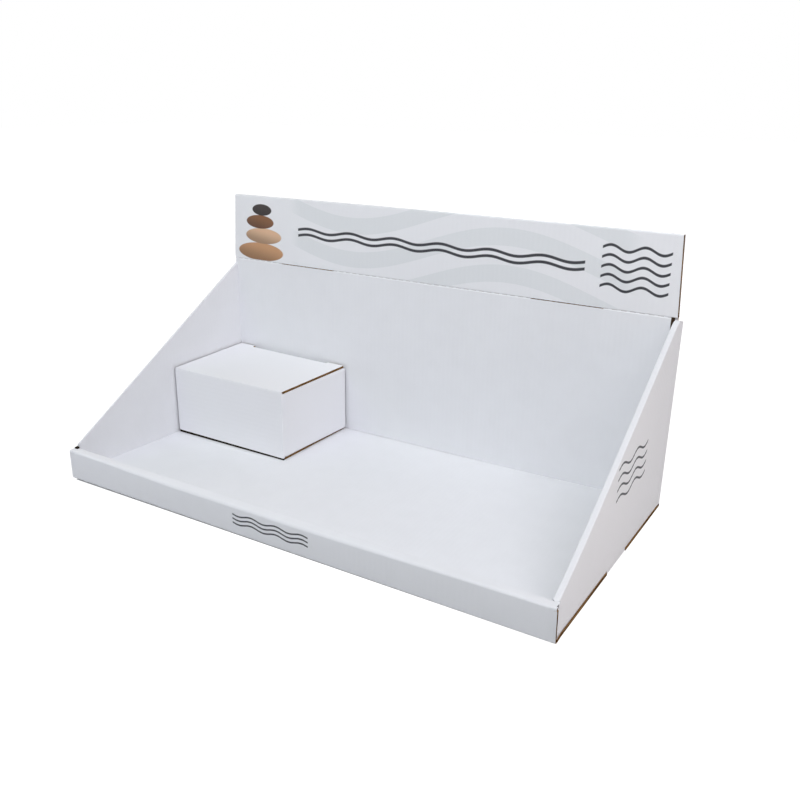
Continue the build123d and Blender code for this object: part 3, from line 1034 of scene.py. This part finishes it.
class COUNTER_DISPLAY_OT_back_card(bpy.types.Operator):
    """Fold the back card: lining, crease with its lock slits, and header"""

    bl_idname = "counter_display.back_card"
    bl_label = "Back Card"

    def execute(self, context):
        v = layout(context.scene)
        sheets = Sheets(v.board, v.board.washboard)
        self.middle(sheets, v)
        self.ends(sheets, v)
        sheets.bend(0, self.tapered, v)
        made = sheets.piece("back_card_board", sheet_materials(v.board, printed_card(v)))
        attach(made, "stand")
        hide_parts("back_card")
        return {"FINISHED"}

    def middle(self, sheets, v):
        """Lining and header with the crease's groove, parted at the lock slits."""
        card, front, crease = v.card, v.card_front, v.card.crease_height
        corners, radii, kinds = header_corners(v, v.seat)
        half, soft = card.crease_width / 2, card.crease_width / 4
        groove = [(front, crease + half), (front + card.crease_depth, crease), (front, crease - half)]
        whole = rounded(corners + groove, radii + [soft, soft / 2, soft], kinds + [FACE] * 3)
        upper = rounded(*header_corners(v, crease + card.slit_width / 2))
        lower = rectangle(front, front + v.t, v.seat, crease - card.slit_width / 2, CUT_PLY)
        reach = card.slit_length / 2
        slits = [middle + side * reach for middle in (-card.slit_place, card.slit_place) for side in (-1, 1)]
        bounds = (card.lining_left, *slits, card.lining_right)
        for number, (x0, x1) in enumerate(pairwise(bounds)):
            open_ends = (number == 0, number == len(bounds) - 2)
            for section in (upper, lower) if number % 2 else (whole,):
                sheets.prism(*section, stations(x0, x1, v.board.grid), "x", flutes="places", raw=open_ends)

    def ends(self, sheets, v):
        """Header's ends beyond the lining, and the medium in the raw edges of header and lining."""
        card, t, crease = v.card, v.t, v.card.crease_height
        right_rise, low_room, high_room, lining_room, lining_top = 0.0008, 0.006, 0.002, 0.002, 0.004
        header_pitch, lining_pitch, swing = 0.07, 0.12, t * FLAT_SWING

        def eared(ring, places):
            """The ring's lower points raised on a quarter circle at the header's left end."""
            lift = quarter(card.ear_radius - (v.header_end + places), card.ear_radius)
            return shifted(ring, 0, np.outer(lift, ring[:, 1] < crease + t))

        for side, near, rise in ((-1, -card.lining_left, 0.0), (1, card.lining_right, right_rise)):
            places = side * stations(near, v.header_end, v.board.grid / 2)
            section = rounded(*header_corners(v, crease + rise))
            sheets.prism(*section, places, "x", shape=eared, raw=(side < 0, side > 0))
            for y, phase in ((v.card_front + t / 2, 0.2), (v.back - t / 2, 2.0)):
                line = ((y, crease + low_room), (y, v.header_top - t - high_room))
                sheets.medium(line, side * v.header_end, -side, header_pitch, swing, phase)
            y = v.card_front + t / 2
            line = ((y, v.seat + lining_room), (y, crease - lining_top))
            sheets.medium(line, side * near, -side, lining_pitch, swing, phase=0.7)

    @staticmethod
    def tapered(points, v):
        """The header's ends out at the crease and in at the top, and its top edge up in its middle."""
        card, crease = v.card, v.card.crease_height
        taper_from, crease_room = 0.24, 0.003
        x, _, z = points.T
        up = share(z, crease, v.header_top)
        foot = np.where(x < 0, *card.taper_feet)
        out = (foot - (foot + card.taper_top) * up) * (z > crease - crease_room)
        end = share(np.abs(x), taper_from, v.header_end) ** 2
        lift = card.crown * up * (1 - share(np.abs(x), 0, v.header_end) ** 2)
        return shifted(points, np.sign(x) * end * out, 0, lift)


class COUNTER_DISPLAY_OT_riser(bpy.types.Operator):
    """Fold the riser carton with its dust flaps and tucked bottom"""

    bl_idname = "counter_display.riser"
    bl_label = "Riser Carton"

    def execute(self, context):
        v = layout(context.scene)
        sheets = Sheets(v.board, v.board.washboard / 2)
        self.walls(sheets, v)
        self.bottom(sheets, v)
        self.front_panel(sheets, v)
        self.dust_flaps(sheets, v)
        sheets.bend(0, self.sprung, v)
        carton = sheets.piece("riser_carton_board", sheet_materials(v.board))
        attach(carton, "stand")
        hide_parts("riser_carton")
        return {"FINISHED"}

    def walls(self, sheets, v):
        """Four walls as a tube along z: an outer and an inner ring with as many points.

        The outer ring draws in over the side panels' folds at both ends, by the radius less its cosine.
        """
        fold, middle, front, back = v.fold, (v.left + v.right) / 2, v.riser_front, v.riser_back
        corners = np.array(((v.left, front), (v.right, front), (v.right, back), (v.left, back)))
        inward = np.array(((1, 1), (-1, 1), (-1, -1), (1, -1)))
        outer, _ = rounded(corners, (fold / 6,) * 4, ALL_FACE)
        inner, _ = rounded(corners + v.t * inward, (fold / 8,) * 4, ALL_FACE)
        turn = np.linspace(0, pi / 2, ARC_STEPS)
        rise, draw = fold * (1 - np.sin(turn)), fold * (1 - np.cos(turn))
        flat = stations(v.bottom_level + fold, v.flap_level - fold, v.board.grid)[1:-1]
        places = np.concatenate((v.bottom_level + rise[::-1], flat, v.flap_level - rise))
        drawn = np.concatenate((draw[::-1], np.zeros(len(flat)), draw))
        wave = sheets.washboard * np.cos(2 * pi * places / v.board.flute_pitch)
        rings = outer + outward(outer) * wave[:, None, None]
        limit = (v.right - v.left) / 2 - drawn[:, None]
        rings[..., 0] = middle + np.clip(rings[..., 0] - middle, -limit, limit)
        skin = placed(rings, places[:, None], "z")
        core = placed(np.stack((inner, inner)), ((v.flap_level,), (v.bottom_level,)), "z")
        index = sheets.add(np.concatenate((skin, core)))
        sheets.join(index, FACE)
        sheets.join(index[[-1, 0]], EDGE)

    def bottom(self, sheets, v):
        """Bottom hinged on the back panel, with its tuck flap behind the front panel."""
        riser, t = v.riser, v.t
        rear, tuck, middle = v.riser_back - t / 2, v.riser_front + t + v.gap, v.floor + t / 2
        path = [(rear, v.bottom_level), (rear, middle), (tuck + t / 2, middle)]
        path += [(tuck + t / 2, v.floor + riser.bottom_tuck)]
        ring, kinds = dense(*folded(path, t, v.fold), v.board.grid)
        # Painted shade on the bottom's fold where it lies in the gap under the front panel.
        shaded = (ring[:, 0] < tuck + t) & (ring[:, 1] < v.bottom_level)
        ends = (v.left + riser.bottom_inset, v.right - riser.bottom_inset)
        sheets.prism(ring, np.where(shaded, HOLLOW, kinds), ends, "x", flutes=0, raw=(True, True))
        line = ((tuck + t, middle), (v.riser_back - t, middle))
        for outer, inward in zip(ends, (1, -1)):
            sheets.medium(line, outer, inward, v.board.flute_pitch, t * FLUTE_SWING)

    def front_panel(self, sheets, v):
        """Front panel with its slanting cut edge, a near-black strip of painted shade under it, and its half
        of the lid's fold.
        """
        riser, front, behind = v.riser, v.riser_front, v.riser_front + v.t
        overlap, shade_inset, shade_lift = 0.001, 0.0004, 0.0001
        across = (v.left + v.fold / 4, v.right - v.fold / 4)
        low, right_low = (v.floor + lift for lift in riser.front_lifts)

        def cut(ring, places):
            """The ring's points on the cut edge, brought down from left to right."""
            fall = (right_low - low) * share(places, *across)
            return shifted(ring, 0, np.outer(fall, np.abs(ring[:, 1] - low) < TINY))

        # The cut edge's underside is near black, and the strip below it is a solid piece of painted shade
        # standing in the gap over the floor.
        panel = rectangle(front, behind, low, v.bottom_level + overlap, (GAP, FACE, EDGE, FACE))
        sheets.prism(*panel, across, "x", FACE, cut)
        shade = rectangle(front + shade_inset, behind, v.floor + shade_lift, low, (GAP,) * 4)
        sheets.prism(*shade, across, "x", GAP, cut)
        bend = v.fold_centre + riser.lid_fold_radius * circle(np.linspace(pi, LID_MITRE, ARC_STEPS + 1))
        root = ((behind, v.lid_under), (behind, v.flap_level), (front, v.flap_level))
        outline = np.concatenate((bend, root))
        sheets.prism(*wound(outline, np.full(len(outline), FACE)), across, "x", FACE)

    def dust_flaps(self, sheets, v):
        """Flaps at both ends of the side panels, drawn in along x to a shorter free edge."""
        riser, t = v.riser, v.t
        near, far = v.riser_front + t + v.gap, v.tuck_face - t - riser.dust_flap_room
        for side, edge in ((1, v.left), (-1, v.right)):
            root, free = edge + side * t, edge + side * (t + riser.dust_flap_length)

            def narrowed(ring, places, root=root):
                """The ring's two sides moved in with the distance from the fold."""
                inward = np.where(ring[:, 0] < (near + far) / 2, 1, -1) * riser.dust_flap_taper
                return shifted(ring, np.outer(np.abs(places - root) / riser.dust_flap_length, inward), 0)

            for low in (v.flap_level - t, v.bottom_level):
                section = rectangle(near, far, low, low + t, (FACE, EDGE, FACE, EDGE))
                sheets.prism(*section, (root, free), "x", shape=narrowed)

    @staticmethod
    def sprung(points, v):
        """The right panel out towards its rear edge, and its lower edge brought down there."""
        x, y, z = points.T
        slack, sag_top = 0.0002, 0.03
        rear = share(y, v.riser_front, v.riser_back)
        near = (x > v.right - slack - v.t) * (z > v.bottom_level - TINY)
        down = v.riser.side_sag * rear * near * (1 - eased(z, v.bottom_level, sag_top))
        return shifted(points, v.riser.side_flare * rear**2 * near, 0, -down)


class COUNTER_DISPLAY_OT_riser_lid(bpy.types.Operator):
    """Fold the riser's lid with its tuck flap"""

    bl_idname = "counter_display.riser_lid"
    bl_label = "Riser Lid"

    def execute(self, context):
        v = layout(context.scene)
        gap, radius = v.riser.lid_gap, v.riser.lid_fold_radius
        sheets = Sheets(v.board, v.board.washboard / 2)
        bend = v.fold_centre + radius * circle(np.linspace(pi / 2, LID_MITRE - gap / radius, ARC_STEPS + 1))
        heel = (v.riser_front + v.t + 2**0.5 * gap, v.lid_under)
        self.ears(sheets, v, bend, heel)
        self.tuck(sheets, v, bend, heel)
        sheets.bend(0, self.twisted, v)
        lid = sheets.piece("riser_lid_board", sheet_materials(v.board))
        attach(lid, "riser_lid")
        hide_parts("riser_lid")
        return {"FINISHED"}

    def ears(self, sheets, v, bend, heel):
        """Lid's corners beside the tuck flap, raw at their outer ends, with the medium in those."""
        ring = np.concatenate((((v.riser_back, v.lid_under), (v.riser_back, v.riser_top)), bend, (heel,)))
        kinds = np.full(len(ring), FACE)
        kinds[0] = EDGE
        ring, kinds = dense(*wound(ring, kinds), v.board.grid)
        ends = ((v.left, 1), (v.right, -1))
        for outer, inward in ends:
            places = (outer, outer + inward * v.riser.lid_ear)
            sheets.prism(ring, kinds, places, "x", flutes=0, raw=(inward > 0, inward < 0))
        middle, margin = (v.riser_top + v.lid_under) / 2, 0.001
        line = ((heel[0] + margin, middle), (v.riser_back - margin, middle))
        for outer, inward in ends:
            sheets.medium(line, outer, inward, v.board.flute_pitch, v.t * FLUTE_SWING)

    def tuck(self, sheets, v, bend, heel):
        """Lid between its corners, with the tuck flap leaning to the inside."""
        riser, lean, corner = v.riser, v.riser.tuck_lean, v.riser.tuck_corner
        down, across = np.array((-sin(lean), -cos(lean))), np.array((-cos(lean), sin(lean)))
        root = np.array((v.tuck_face, v.lid_under))
        inside = root + across * v.t
        inside = inside + down * (inside[1] - v.lid_under) / cos(lean)
        tip = root + down * riser.tuck_length
        corners = (root, (v.tuck_face, v.riser_top), bend[0], bend[-1], heel, inside, tip + across * v.t, tip)
        radii = (0, v.fold, 0, 0, 0, 0, 0, 0)
        kinds = (FACE, FACE, FACE, FACE, FACE, FACE, EDGE, FACE)
        ring, kinds = dense(*rounded(corners, radii, kinds), v.board.grid)
        low, high, step = v.left + riser.lid_ear, v.right - riser.lid_ear, v.board.grid / 2
        places = np.concatenate((stations(low, low + corner, step), stations(high - corner, high, step)))

        def cornered(ring, places):
            """The tuck flap's free edge drawn up on a quarter circle at each end."""
            lift = quarter(np.abs(places - (low + high) / 2) - (high - low) / 2 + corner, corner)
            drop = share(v.lid_under - ring[:, 1], 0, riser.tuck_length * cos(lean))
            return ring - drop[:, None] * lift[:, None, None] * down

        sheets.prism(ring, kinds, places, "x", shape=cornered, flutes=0)

    @staticmethod
    def twisted(points, v):
        """The lid's rear left corner raised, in step with the distance from the fold and from the right."""
        left = share(points[:, 0], v.right, v.left)
        rear = share(points[:, 1], v.riser_front, v.riser_back)
        return shifted(points, 0, 0, v.riser.lid_twist * left * rear)


def softbox(name, place, side, power, tint):
    """Square area light that faces the display and isn't seen itself."""
    light = bpy.data.lights.new(name, "AREA")
    light.shape = "SQUARE"
    light.size = side
    light.energy = power
    light.color = tint
    lamp = shown(name, light)
    lamp.location = place
    lamp.visible_camera = False
    aim = Vector((0.0, 0.0, 0.1))
    lamp.rotation_euler = (aim - Vector(place)).to_track_quat("-Z", "Y").to_euler()


def studio_floor(stage):
    """Matt grey paint that glows white for the camera, gloss and glass, but not under the display, where the
    bare grey along its foot is a painted shadow.
    """
    strength, part, blur, left_room, right_room, back_room = 1.25, 0.86, 0.0006, 0.005, 0.0006, 0.001
    finish = Finish("studio_floor")
    finish.named(finish.shader, {"Base Color": stage.floor, "Roughness": 0.9, "Specular IOR Level": 0.1})
    # Painted shadow: the glow stops over the display's footprint, slanted in front of the lip, so a dark line
    # shows along its foot.
    turned = finish.math("SUBTRACT", finish.y, finish.math("MULTIPLY", finish.x, stage.shade_turn))
    under = finish.both(
        finish.inside(finish.x, TRAY_LOW.x + left_room, TRAY_HIGH.x - right_room, blur),
        finish.inside(turned, TRAY_LOW.y, TRAY_HIGH.y - back_room, blur),
    )
    glowing = finish.both(finish.seen(), finish.math("SUBTRACT", 1.0, under))
    glow = finish.node("ShaderNodeEmission", WHITE, strength)
    factor = finish.math("MULTIPLY", glowing, part)
    finish.feed(finish.output.inputs["Surface"], finish.mix(factor, finish.shader, glow))
    return finish.material


class COUNTER_DISPLAY_OT_stage(bpy.types.Operator):
    """Set the floor, the light and the camera"""

    bl_idname = "counter_display.stage"
    bl_label = "Stage"

    def execute(self, context):
        scene = context.scene
        stage = scene.counter_display.stage
        self.floor(stage)
        self.light(scene, stage)
        self.camera(scene, stage)
        scene.view_settings.view_transform = "Standard"
        return {"FINISHED"}

    def floor(self, stage):
        """Floor as a grid of x and y, just below the display and falling to the left."""
        room, reach, step = 0.0010, 9.0, 1.0
        side = stations(-reach, reach, step)
        across, along = np.meshgrid(side, side, indexing="ij")
        grid = np.stack((across, along, -room - stage.floor_fall * (TRAY_HIGH.x - across)), -1)
        index = np.arange(across.size).reshape(across.shape)
        quads = np.stack((index[:-1, :-1], index[1:, :-1], index[1:, 1:], index[:-1, 1:]), -1).reshape(-1, 4)
        mesh = bpy.data.meshes.new("studio_floor")
        mesh.from_pydata(grid.reshape(-1, 3), [], quads.tolist())
        mesh.materials.append(studio_floor(stage))
        floor = shown("studio_floor", mesh)

    def light(self, scene, stage):
        """Even light from all round, a white backdrop where it is seen, and the softboxes."""
        scene.world = bpy.data.worlds.new("studio")
        nodes = Nodes(scene.world)
        around = nodes.node("ShaderNodeBackground", WHITE, stage.ambient)
        backdrop = nodes.node("ShaderNodeBackground", WHITE, 1.0)
        nodes.node("ShaderNodeOutputWorld", nodes.mix(nodes.seen(), around, backdrop))
        for name, place, side, watts, tint in LAMPS:
            softbox(name, place, side, watts * stage.power, tint)

    def camera(self, scene, stage):
        """Camera turned by yaw, pitch and roll from a level view along +y."""
        flat = cos(stage.pitch)
        ahead = Vector((sin(stage.yaw) * flat, cos(stage.yaw) * flat, -sin(stage.pitch)))
        right = Vector((cos(stage.yaw), -sin(stage.yaw), 0.0))
        up = right.cross(ahead)
        across = cos(stage.roll) * right + sin(stage.roll) * up
        above = cos(stage.roll) * up - sin(stage.roll) * right
        lens = bpy.data.cameras.new("camera")
        lens.lens = stage.focal
        lens.sensor_width = 36.0
        lens.clip_start, lens.clip_end = 0.01, 50.0
        camera = shown("camera", lens)
        turned = Matrix((across, above, -ahead)).transposed().to_4x4()
        camera.matrix_world = Matrix.Translation(stage.eye) @ turned
        scene.camera = camera


class COUNTER_DISPLAY_PT_panel(bpy.types.Panel):
    """Sidebar panel with the display's pieces and settings"""

    bl_label = "Counter Display"
    bl_space_type = "VIEW_3D"
    bl_region_type = "UI"
    bl_category = "Display"

    def draw(self, context):
        settings = context.scene.counter_display
        for operator, group in STEPS:
            self.layout.operator(operator.bl_idname)
            box = self.layout.box()
            for name in getattr(settings, group).__annotations__:
                box.prop(getattr(settings, group), name)


STEPS = (
    (COUNTER_DISPLAY_OT_tray, "tray"),
    (COUNTER_DISPLAY_OT_back_card, "card"),
    (COUNTER_DISPLAY_OT_riser, "riser"),
    (COUNTER_DISPLAY_OT_riser_lid, "board"),
    (COUNTER_DISPLAY_OT_stage, "stage"),
)
GROUPS = (BoardSettings, TraySettings, CardSettings, RiserSettings, StageSettings, DisplaySettings)
CLASSES = (*GROUPS, *(operator for operator, _ in STEPS), COUNTER_DISPLAY_PT_panel)


def register():
    """Makes the settings, operators and panel known to Blender."""
    for kind in CLASSES:
        bpy.utils.register_class(kind)
    bpy.types.Scene.counter_display = bpy.props.PointerProperty(type=DisplaySettings)


def unregister():
    """Takes them away again."""
    del bpy.types.Scene.counter_display
    for kind in reversed(CLASSES):
        bpy.utils.unregister_class(kind)


def main():
    """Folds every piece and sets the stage."""
    register()
    bpy.ops.counter_display.tray()
    bpy.ops.counter_display.back_card()
    bpy.ops.counter_display.riser()
    bpy.ops.counter_display.riser_lid()
    bpy.ops.counter_display.stage()


if __name__ == "__main__":
    main()
